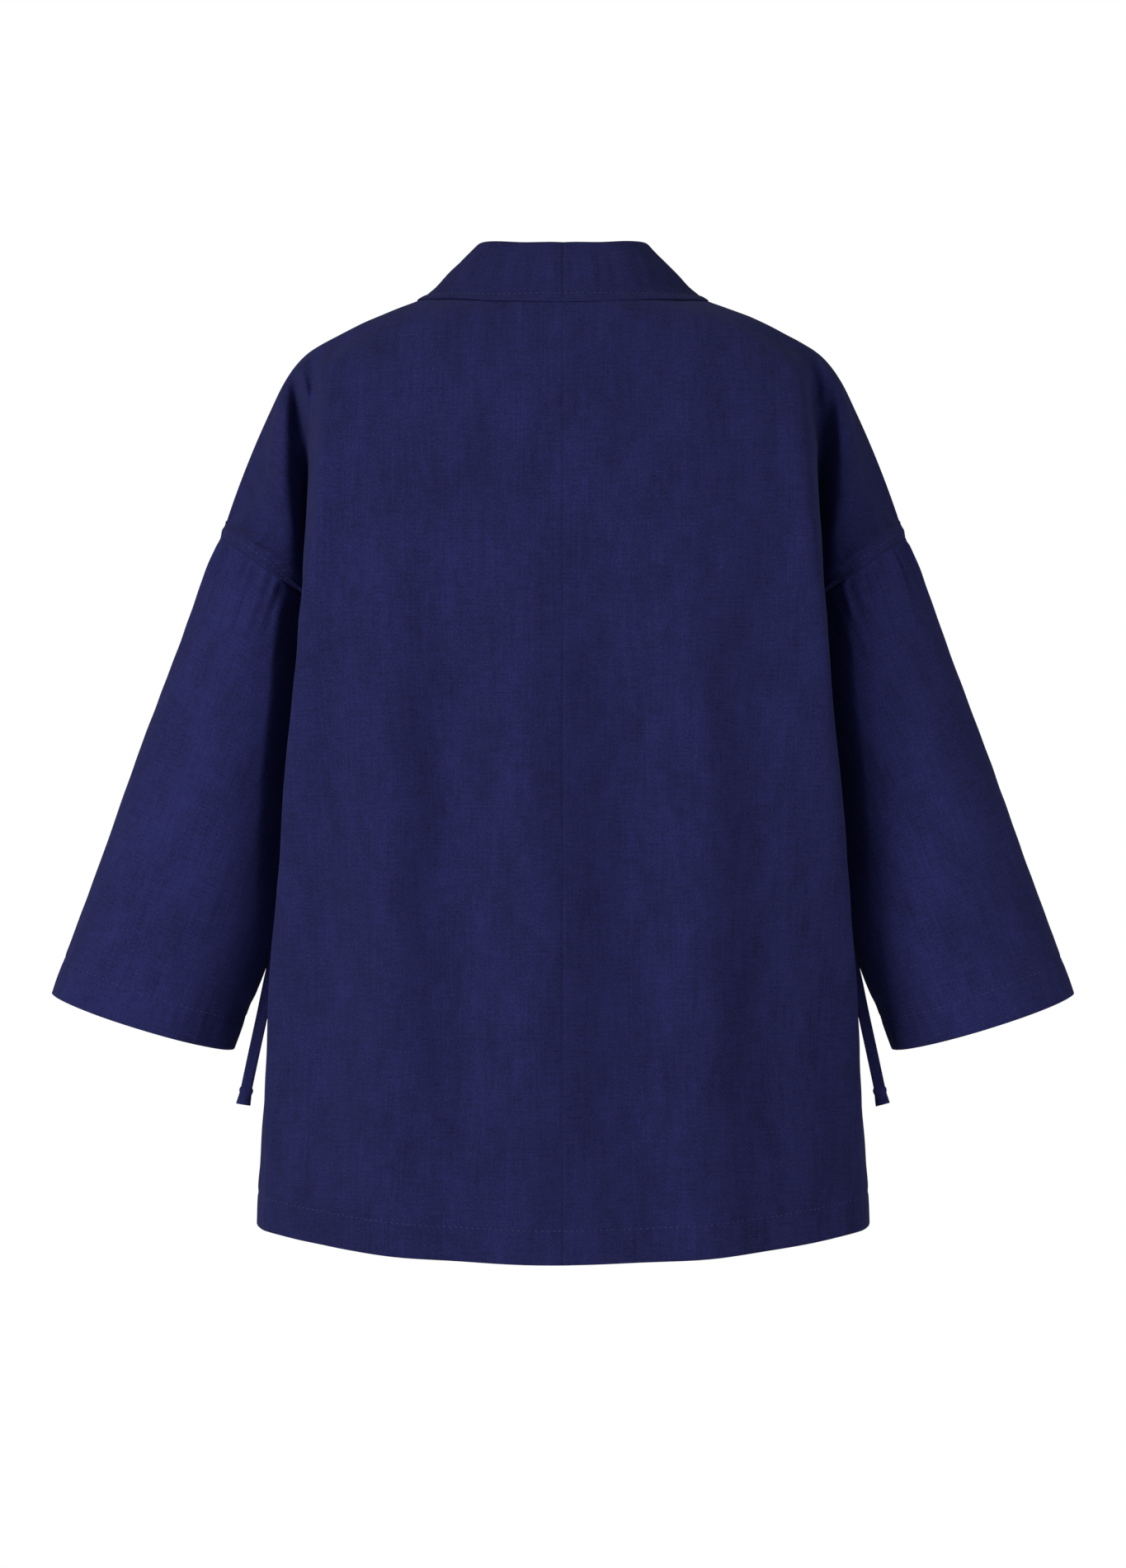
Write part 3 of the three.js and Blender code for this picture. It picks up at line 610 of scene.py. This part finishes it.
def panel_relief(is_back, side, points, in_armhole):
    """Height of a body panel's relief, with the distances from its outer edge and its hem."""
    x, z = side * points[..., 0], points[..., 2]
    seed = 10 * is_back + 3
    along = walked(points, 0)
    from_edge = walked(points[:, ::-1], 1)[:, ::-1]
    from_hem = along[-1:] - along
    relief = 0.55 * waves(x, z * 0.55, seed, 75) + 0.16 * waves(x, z * 0.8, seed + 1, 26)
    relief = relief * ease(from_edge / STILL_EDGE)
    across = side * (points[0, 0, 0] + walked(points, 1))
    hem = ease((HEM_PUCKERS - from_hem) / 12)
    relief = relief * (1 - 0.6 * hem) + hem * turned_up(from_hem, across, HEM_STITCH, seed + 2)
    if is_back:
        relief += seam_relief(points[..., 0], *CENTRE_BACK)
    puffed = 0.35 * bump(from_edge - 3.2, 2.0) - 0.3 * bump(from_edge - ARMHOLE_STITCH, 1.1)
    puffed += 0.3 * ripple(along, seed + 4, 9) * bump(from_edge - 9, 6)
    open_fold = in_armhole[:, None] * ease((z - ARMHOLE_BOTTOM[2] - 20) / 30)
    relief += (puffed * open_fold + seam_relief(from_edge)) * ease((ARMHOLE_TOP[2] - z) / 10)
    return relief, from_edge, from_hem


def fitted_sleeve(side):
    """A sleeve's points, their places on its flat cut and their distances from the cuff."""
    length = np.linalg.norm((CUFF_OUTER + CUFF_INNER - ARMHOLE_TOP - ARMHOLE_BOTTOM) / 2)
    shares = with_seam(np.linspace(0, length, round(length / FINE) + 1), 0) / length
    angles = np.linspace(-math.pi, math.pi, round(math.tau * SLEEVE_RADIUS / SLEEVE_STEP) + 1)
    share, angle = np.meshgrid(shares, angles, indexing="ij")
    points = sleeve_point(share, angle)
    _, across, edge_normals, _ = armhole_frame(angles)
    points[0] -= across * SEAM / 2
    normals = normals_of(points, True)
    normals[:, 0] = normals[:, -1] = unit(normals[:, 0] + normals[:, -1])
    normals = eased_to(normals, edge_normals[None], share * length)
    around = angle * SLEEVE_RADIUS
    down = share * length
    seed = 40 + side
    relief = 0.6 * waves(around * 1.2, down * 0.45, seed, 80)
    relief += 0.15 * waves(around, down * 0.8, seed + 1, 26)
    relief *= ease(down / 30)
    from_top = np.abs(angle)
    from_inside = math.pi - from_top
    free = 1 - ease((from_top - NO_PUCKERS_FROM) / NO_PUCKERS_OVER)
    free *= ease((from_top - 0.05) / 0.4)
    puckers = ripple(around, seed + 2, PUCKER_PITCH) * np.exp(-((down / PUCKER_LENGTH) ** 1.5))
    relief += PUCKER_HEIGHT * puckers * free * ease(down / 7)
    relief += seam_relief(down) * ease(from_top / 0.3)
    relief += FULLER_TOP * (1 - share) * bump(angle, 1.0) * ease(down / 30)
    fuller = np.minimum(FULLER_TAPER * (1 - share), FULLER_INSIDE) * ease((share - 0.5) / 0.16)
    relief += fuller * bump(from_inside, 1.1)
    from_cuff = length - down
    hem = ease((CUFF_PUCKERS - from_cuff) / 12)
    relief = relief * (1 - 0.6 * hem) + hem * turned_up(from_cuff, around, CUFF_STITCH, seed + 3)
    relief += seam_relief(from_inside * SLEEVE_RADIUS, *UNDER_SLEEVE)
    points += normals * relief[..., None]
    points[:, -1] = points[:, 0]
    return points, np.stack([around, -down], -1), from_cuff


# ---- the collar band ----
BAND = 2.0  # the doubled band
BAND_EDGE = 0.9  # its turned edge, where it is sewn down on the panel
BAND_LIFT = 0.4
LAP = 8.0  # how far it lies over the panel
BAND_ROLL = 1.0  # how far its middle is rounded out


def free_edge(side):
    """The band's free edge, from the centre back round the neck and down the front."""
    points = [np.array(place) for place in zip(*NECK_EDGE.values())]
    hem_z = HEM_SIDE - HEM_DIP * 0.8
    for z in FRONT_EDGE["z"][2:]:
        level = max(z, hem_z)
        x = value_at(FRONT_EDGE, "free", level)
        depth = depth_at(False, x, level) + fold_depth(False, side, x, level)
        points.append(np.array([x, -depth - BAND_LIFT - BAND, level]))
    places = np.linspace(0, len(points) - 1, 1500)
    return curve(points, places)


def smoothed(values, reach):
    """Values along a line, each the mean of those within a reach; the ends stay."""
    weights = np.hanning(2 * reach + 3)[1:-1]
    weights = weights / weights.sum()
    flat = values.reshape(len(values), -1)
    before = 2 * flat[:1] - flat[reach:0:-1]
    after = 2 * flat[-1:] - flat[-2 : -2 - reach : -1]
    padded = np.vstack([before, flat, after])
    out = np.stack([np.convolve(column, weights, "valid") for column in padded.T], 1)
    return out.reshape(values.shape)


def collar_grid(side, back, front):
    """Rows go along the neckline and down the front, columns from the lapped edge outwards."""
    back_normals = normals_of(back, False)
    edge_front = front[8:].transpose(1, 0, 2)
    front_normals = normals_of(front, True)[8:].transpose(1, 0, 2)
    edge = np.vstack([back[0], edge_front[0]])
    normal = np.vstack([back_normals[0], front_normals[0]])
    halves = (
        line_across(back, back_normals, walked(back, 0), LAP),
        line_across(edge_front, front_normals, walked(edge_front, 0), LAP),
    )
    inside, inside_normal = (np.vstack(parts) for parts in zip(*halves))
    walk = walked(edge[None], 1)[0]
    even = np.linspace(0, walk[-1], round(walk[-1] / FINE) + 1)

    def at_even(values):
        return np.stack([np.interp(even, walk, values[:, k]) for k in range(values.shape[1])], 1)

    edge, inside = smoothed(at_even(edge), 4), smoothed(at_even(inside), 4)
    normal = unit(smoothed(at_even(normal), 8))
    inside_normal = unit(smoothed(at_even(inside_normal), 8))
    free_line = free_edge(side)
    gaps = np.linalg.norm(edge[:, None] - free_line[None], axis=2)
    place = np.maximum.accumulate(gaps.argmin(axis=1).astype(float))
    place[-1] = len(free_line) - 1
    place = np.clip(smoothed(place, 14), 0, len(free_line) - 1)
    index = np.arange(len(free_line))
    free = np.stack([np.interp(place, index, free_line[:, k]) for k in range(3)], 1)
    lapped = inside + inside_normal * (0.2 + BAND_EDGE)
    upper = edge + normal * (BAND_LIFT + BAND)
    outwards = unit(np.cross(np.gradient(edge, axis=0), free - edge))
    outwards *= np.sign(np.sum(outwards * normal, axis=1, keepdims=True))
    middle = mix(upper, free, 0.5) + outwards * BAND_ROLL
    coarse = np.stack([lapped, upper, middle, free], axis=1)
    across = walked(coarse, 1).mean(axis=0)
    fine = fine_places(across, FINE)
    points = through(coarse.transpose(1, 0, 2), across, fine).transpose(1, 0, 2)
    points[:, :, 0] += SEAM / 2 * (1 - ease(points[:, :, 0] / 5))
    return points, np.stack(np.meshgrid(even, fine, indexing="ij"), -1)


def fitted_collar(side, back, front):
    """A half of the collar band and the places of its points on its flat cut."""
    points, places = collar_grid(side, back, front)
    along, across = places[..., 0], places[..., 1]
    seed = 60 + side
    relief = 0.3 * waves(along, across, seed, 60)
    inner = ease((across - 6) / 12) * ease((across.max() - across) / 14)
    relief += 0.5 * ripple(along, seed + 1, 17) * inner * ease((150 - along) / 60)
    relief *= ease(along / 12)
    relief -= 0.45 * bump(across - COLLAR_STITCH, 1.4)
    relief += 0.3 * bump(across - 4, 2.5) + seam_relief(along, *COLLAR_CENTRE)
    points += normals_of(points, False) * relief[..., None]
    points[0, :, 0] = SEAM / 2
    return points, places


# ---- stitches ----
STITCH_PITCH = 4.2
STITCH = np.array([1.1, 0.28, 0.2])  # half its length, width and height


def sew(bm, side, line, normals, seed):
    """Dashes of thread along a line on the cloth."""
    mirror = np.array([side, 1, 1])
    walk = walked(line[None], 1)[0]
    rng = np.random.default_rng(seed)
    places = (np.arange(int(walk[-1] / STITCH_PITCH)) + 0.5) * STITCH_PITCH
    places = places + rng.uniform(-0.3, 0.3, len(places))

    def at(values, where):
        return np.stack([np.interp(where, walk, values[:, k]) for k in range(3)], 1) * mirror

    centres = at(line, places)
    forward = unit(at(line, places + 0.8) - at(line, places - 0.8))
    upward = unit(at(normals, places))
    for centre, along, up in zip(centres + upward * 0.1, forward, upward):
        sideways = np.cross(up, along)
        turn = np.stack([along, sideways, up], 1) * STITCH * MM
        matrix = Matrix(turn.tolist()).to_4x4()
        matrix.translation = Vector(centre * MM)
        bmesh.ops.create_icosphere(bm, subdivisions=1, radius=1, matrix=matrix)


def stitches_object(name, material, side, lines):
    """All the topstitching of one piece."""
    bm = bmesh.new()
    for number, (line, normals) in enumerate(lines):
        sew(bm, side, line, normals, number)
    obj = to_object(bm, name, material)
    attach(obj, "root")
    return obj


# ---- colours and materials ----
def linear(hex_colour):
    """A colour from an sRGB hex number, made linear."""
    parts = [(hex_colour >> shift & 255) / 255 for shift in (16, 8, 0)]
    return [p / 12.92 if p <= 0.04045 else ((p + 0.055) / 1.055) ** 2.4 for p in parts] + [1]


def add_node(tree, kind, settings=None, inputs=None):
    """One node: settings are its own, inputs are values or the sockets that feed it."""
    node = tree.nodes.new(kind)
    for name, value in (settings or {}).items():
        setattr(node, name, value)
    for name, value in (inputs or {}).items():
        if isinstance(value, bpy.types.NodeSocket):
            tree.links.new(value, node.inputs[name])
        else:
            node.inputs[name].default_value = value
    return node


def new_material(name):
    material = bpy.data.materials.new(name)
    material.use_nodes = True
    material.node_tree.nodes.clear()
    return material, material.node_tree


def yarn(tree, cloth, size, detail=2.0, offset=0.0):
    """Noise stretched along the cloth: size is its grain across and along, in millimetres."""
    scale = [1000 / size[0], 1000 / size[1], 1]
    inputs = {"Vector": cloth, "Scale": scale, "Location": (offset, offset * 0.7, 0)}
    mapped = add_node(tree, "ShaderNodeMapping", inputs=inputs)
    inputs = {"Vector": mapped.outputs[0], "Scale": 1.0, "Detail": detail, "Roughness": 0.55}
    return add_node(tree, "ShaderNodeTexNoise", inputs=inputs).outputs["Fac"]


def calculate(tree, operation, first, second, third=None):
    inputs = {0: first, 1: second} if third is None else {0: first, 1: second, 2: third}
    return add_node(tree, "ShaderNodeMath", {"operation": operation}, inputs).outputs[0]


def slub_cotton(name, colour, offset, knotted=False):
    """Matt woven cotton with thick and thin threads, dyed with indigo that took unevenly."""
    material, tree = new_material(name)
    if knotted:  # a knot has no flat cut, so its threads simply run down it
        place = add_node(tree, "ShaderNodeTexCoord").outputs["Object"]
        inputs = {"Vector": place, "Rotation": (math.radians(90), 0, 0)}
        cloth = add_node(tree, "ShaderNodeMapping", inputs=inputs).outputs[0]
    else:
        cloth = add_node(tree, "ShaderNodeUVMap", {"uv_map": "cloth"}).outputs[0]
    warp = yarn(tree, cloth, (1.5, 55), 2.0, offset)  # long thick and thin threads
    weft = yarn(tree, cloth, (20, 1.3), 2.0, offset + 3)  # short slubs across them
    grain = yarn(tree, cloth, (1.5, 1.8), 1.0, offset + 5)  # the weave, coarser than real
    mottle = yarn(tree, cloth, (6, 12), 2.0, offset + 9)  # where it is a little denser
    cloud = yarn(tree, cloth, (24, 60), 3.0, offset + 7)  # where the dye took more or less
    tone = 1.0
    parts = ((warp, 0.55), (weft, 0.6), (grain, 1.1), (mottle, 0.5), (cloud, 0.75))
    for fac, strength in parts:
        centred = calculate(tree, "SUBTRACT", fac, 0.5)
        tone = calculate(tree, "MULTIPLY_ADD", centred, strength, tone)
    inputs = {0: linear(colour)[:3], "Scale": tone}
    shade = add_node(tree, "ShaderNodeVectorMath", {"operation": "SCALE"}, inputs).outputs[0]
    height = calculate(tree, "ADD", warp, weft)
    height = calculate(tree, "ADD", height, grain)
    inputs = {"Height": height, "Strength": 0.35, "Distance": 0.0004}
    bumped = add_node(tree, "ShaderNodeBump", inputs=inputs).outputs[0]
    inputs = {
        "Base Color": shade,
        "Roughness": 0.92,
        "Specular IOR Level": 0.18,
        "Sheen Weight": 0.12,  # the fuzz of spun cotton
        "Sheen Roughness": 0.6,
        "Sheen Tint": linear(0x8A90C8),
        "Normal": bumped,
    }
    cloth_shader = add_node(tree, "ShaderNodeBsdfPrincipled", inputs=inputs)
    add_node(tree, "ShaderNodeOutputMaterial", inputs={"Surface": cloth_shader.outputs[0]})
    return material


def plain(name, colour, roughness):
    material, tree = new_material(name)
    inputs = {"Base Color": linear(colour), "Roughness": roughness}
    shader = add_node(tree, "ShaderNodeBsdfPrincipled", inputs=inputs)
    return material, tree, shader.outputs[0]


BACK_COTTON = slub_cotton("slub cotton, back", 0x27295E, 0.0)
FRONT_COTTON = slub_cotton("slub cotton, fronts", 0x27295E, 11.0)
# painted light: the sleeves are the back's cotton made a little lighter, to stand in for the light
# that the sleeves catch
SLEEVE_COTTON_PAINTED_LIGHTER = slub_cotton("slub cotton, sleeves, painted lighter", 0x2A2C64, 23.0)
COLLAR_COTTON = slub_cotton("slub cotton, collar band", 0x252759, 37.0)
TAPE_COTTON = slub_cotton("slub cotton, folded tape", 0x2A2C63, 51.0)
KNOT_COTTON = slub_cotton("slub cotton, knotted tape", 0x2E3068, 57.0, knotted=True)
THREAD, thread_tree, thread_shader = plain("cotton sewing thread", 0x4A5088, 0.8)
add_node(thread_tree, "ShaderNodeOutputMaterial", inputs={"Surface": thread_shader})


def declare(obj, piece, word):
    """Hides the solid that a piece of cloth stands for, and hangs the piece from the root body."""
    node = f"{piece}_{word}"
    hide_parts(node)
    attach(obj, "root")


def build_half(side):
    """The cloth pieces of one side of the jacket, with their topstitching."""
    word = WORDS[side]
    grids = {}
    for piece, is_back, cotton in (("back", True, BACK_COTTON), ("front", False, FRONT_COTTON)):
        points, normals, in_armhole = fitted_panel(is_back, side)
        relief, from_edge, from_hem = panel_relief(is_back, side, points, in_armhole)
        points += normals * relief[..., None]
        grids[piece] = points
        places = np.stack([side * (points[0, 0, 0] + walked(points, 1)), points[..., 2]], -1)
        thick = ease((HEM_STITCH + 2 - from_hem) / 3)
        name = f"cloth_{piece}_{word}"
        obj = cloth_object(name, side, points, places, not is_back, cotton, CLOTH, HEM_CLOTH, thick)
        normals = normals_of(points, not is_back)
        hem_line = line_across(points[::-1], normals[::-1], from_hem[::-1], HEM_STITCH)
        height = points[:, -1, 2]
        rows = in_armhole & (height > ARMHOLE_BOTTOM[2] + 34) & (height < ARMHOLE_TOP[2] - 0.7)
        turned = [grid[rows, ::-1].transpose(1, 0, 2) for grid in (points, normals)]
        armhole_line = line_across(*turned, from_edge[rows, ::-1].T, ARMHOLE_STITCH)
        lines = [hem_line, armhole_line]
        extras = [stitches_object(f"stitches_{piece}_{word}", THREAD, side, lines)]
        declare(obj, piece, word)
    points, places, from_cuff = fitted_sleeve(side)
    thick = ease((CUFF_STITCH + 2 - from_cuff) / 3)
    name = f"cloth_sleeve_{word}"
    obj = cloth_object(name, side, points, places, True, SLEEVE_COTTON_PAINTED_LIGHTER, CLOTH, HEM_CLOTH, thick)
    normals = normals_of(points, True)
    cuff_line = line_across(points[::-1], normals[::-1], from_cuff[::-1], CUFF_STITCH)
    extras = [stitches_object(f"stitches_sleeve_{word}", THREAD, side, [cuff_line])]
    declare(obj, "sleeve", word)
    points, places = fitted_collar(side, grids["back"], grids["front"])
    name = f"cloth_collar_{word}"
    thick = ease((places[..., 1] - 1.5) / 6)
    obj = cloth_object(name, side, points, places, False, COLLAR_COTTON, BAND_EDGE, BAND, thick)
    normals = normals_of(points, False)
    across = places[..., 1].T
    line = line_across(points.transpose(1, 0, 2), normals.transpose(1, 0, 2), across, COLLAR_STITCH)
    extras = [stitches_object(f"stitches_collar_{word}", THREAD, side, [line])]
    declare(obj, "collar", word)


build_half(LEFT)
build_half(RIGHT)

# ---- side ties ----
TIE_WIDTH, TIE_THICKNESS = 8.0, 1.6


def tie_route(side):
    """The middle of a side tie, from the side seam down to its knot."""
    route = np.array([(side * x, 0, z) for x, z in zip(*TIE_ROUTE.values())], float)
    return curve(route, np.linspace(0, len(route) - 1, 73))


def tie_object(side):
    word = WORDS[side]
    route = tie_route(side)
    ahead = unit(np.gradient(route, axis=0))
    across = np.stack([-ahead[:, 2], 0 * ahead[:, 0], ahead[:, 0]], axis=1)
    shares = np.linspace(-0.5, 0.5, 7)
    face = np.array([0, 1, 0]) * (TIE_THICKNESS / 2 - 0.35 * (2 * shares[:, None]) ** 4)
    points = route[:, None] + across[:, None] * TIE_WIDTH * shares[None, :, None] + face[None]
    walk = walked(route[None], 1)[0]
    places = np.stack(np.meshgrid(walk, shares * TIE_WIDTH, indexing="ij"), -1)[..., ::-1]
    tape = cloth_object(f"tape_{word}", 1, points, places, True, TAPE_COTTON, TIE_THICKNESS)
    return tape, route, walk[-1]


# The overhand knot and its cut tail: distance below the tape's end, width, depth.
KNOT_RINGS = table(
    "down width depth",
    (-1.2, 7.0, 2.2),
    (0.3, 9.4, 4.8),
    (1.6, 10.6, 5.6),
    (3.4, 10.3, 5.2),
    (4.6, 9.3, 4.0),
    (6.0, 9.5, 4.0),
    (9.0, 10.2, 3.4),
    (12.8, 11.0, 2.6),
    (13.2, 10.4, 1.6),
)


def knot_object(side, route):
    """The overhand knot and its cut tail, ring by ring, under the tape's end."""
    word = WORDS[side]
    end, above = route[-1], route[-6]
    bm = bmesh.new()
    bmesh.ops.create_circle(bm, cap_ends=True, radius=1, segments=28)
    ring = bm.verts[:]
    angles = [math.atan2(vertex.co.y, vertex.co.x) for vertex in ring]
    last = bm.faces[:]
    for number, (down, width, depth) in enumerate(zip(*KNOT_RINGS.values())):
        if number:
            made = bmesh.ops.extrude_face_region(bm, geom=last)["geom"]
            last = [item for item in made if isinstance(item, bmesh.types.BMFace)]
            ring = [item for item in made if isinstance(item, bmesh.types.BMVert)]
            angles = [math.atan2(vertex.co.y, vertex.co.x) for vertex in ring]
        pleats = 0.22 * ease((down - 2) / 5)
        for vertex, angle in zip(ring, angles):
            x, y = math.cos(angle), math.sin(angle)
            flat = depth / 2 * (1 + pleats * math.sin(9 * x + side))
            vertex.co = (width / 2 * x, flat * y, -down + 0.35 * math.sin(4 * x) * (down > 9))
    bmesh.ops.recalc_face_normals(bm, faces=bm.faces)
    turn = math.atan2(above[0] - end[0], above[2] - end[2])
    bmesh.ops.rotate(bm, cent=(0, 0, 0), matrix=Matrix.Rotation(turn, 3, "Y"), verts=bm.verts)
    bmesh.ops.translate(bm, vec=end, verts=bm.verts)
    bmesh.ops.scale(bm, vec=(MM, MM, MM), verts=bm.verts)
    obj = to_object(bm, f"knot_{word}", KNOT_COTTON)
    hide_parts(f"tie_knot_{word}")
    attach(obj, "root")
    return obj


for side in (LEFT, RIGHT):
    tape, route, length = tie_object(side)
    word = WORDS[side]
    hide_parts(f"tie_{word}")
    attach(tape, "root")
    knot = knot_object(side, route)

# ---- studio ----
def both_ways(tree, lit, seen, output="ShaderNodeOutputMaterial"):
    """One shader for the light that it gives and another for how the camera sees it."""
    rays = add_node(tree, "ShaderNodeLightPath")
    inputs = {0: rays.outputs["Is Camera Ray"], 1: lit, 2: seen}
    mixed = add_node(tree, "ShaderNodeMixShader", inputs=inputs)
    add_node(tree, output, inputs={"Surface": mixed.outputs[0]})


world = bpy.data.worlds.new("pale studio")
bpy.context.scene.world = world
world.use_nodes = True
tree = world.node_tree
tree.nodes.clear()
seen = add_node(tree, "ShaderNodeBackground", inputs={"Color": (1, 1, 1, 1), "Strength": 1.0})
lit = add_node(tree, "ShaderNodeBackground", inputs={"Color": (1, 1, 1, 1), "Strength": 0.12})
both_ways(tree, lit.outputs[0], seen.outputs[0], "ShaderNodeOutputWorld")
bpy.context.scene.view_settings.view_transform = "Standard"

FLOOR_DROP = -1.25
bm = bmesh.new()
bmesh.ops.create_grid(bm, x_segments=1, y_segments=1, size=12)
bmesh.ops.translate(bm, vec=(0, 0, FLOOR_DROP), verts=bm.verts)
pale, pale_tree, pale_shader = plain("pale painted floor", 0xF4F4F4, 0.9)
glow = add_node(pale_tree, "ShaderNodeEmission", inputs={"Strength": 1.0})
both_ways(pale_tree, pale_shader, glow.outputs[0])
floor = to_object(bm, "studio_floor", pale)


def soft_light(name, place, aim, size, watts):
    light = bpy.data.lights.new(name, "AREA")
    light.shape = "RECTANGLE"
    light.size, light.size_y = size
    light.energy = watts
    obj = bpy.data.objects.new(name, light)
    obj.location = place
    obj.rotation_euler = (Vector(aim) - Vector(place)).to_track_quat("-Z", "Y").to_euler()
    bpy.context.scene.collection.objects.link(obj)


soft_light("key_softbox", (1.95, 2.15, 0.55), (0, 0, -0.35), (1.5, 1.5), 43)
soft_light("fill_softbox", (-2.2, 2.0, 0.2), (0, 0, -0.35), (1.8, 1.8), 15.5)

bpy.context.view_layer.update()
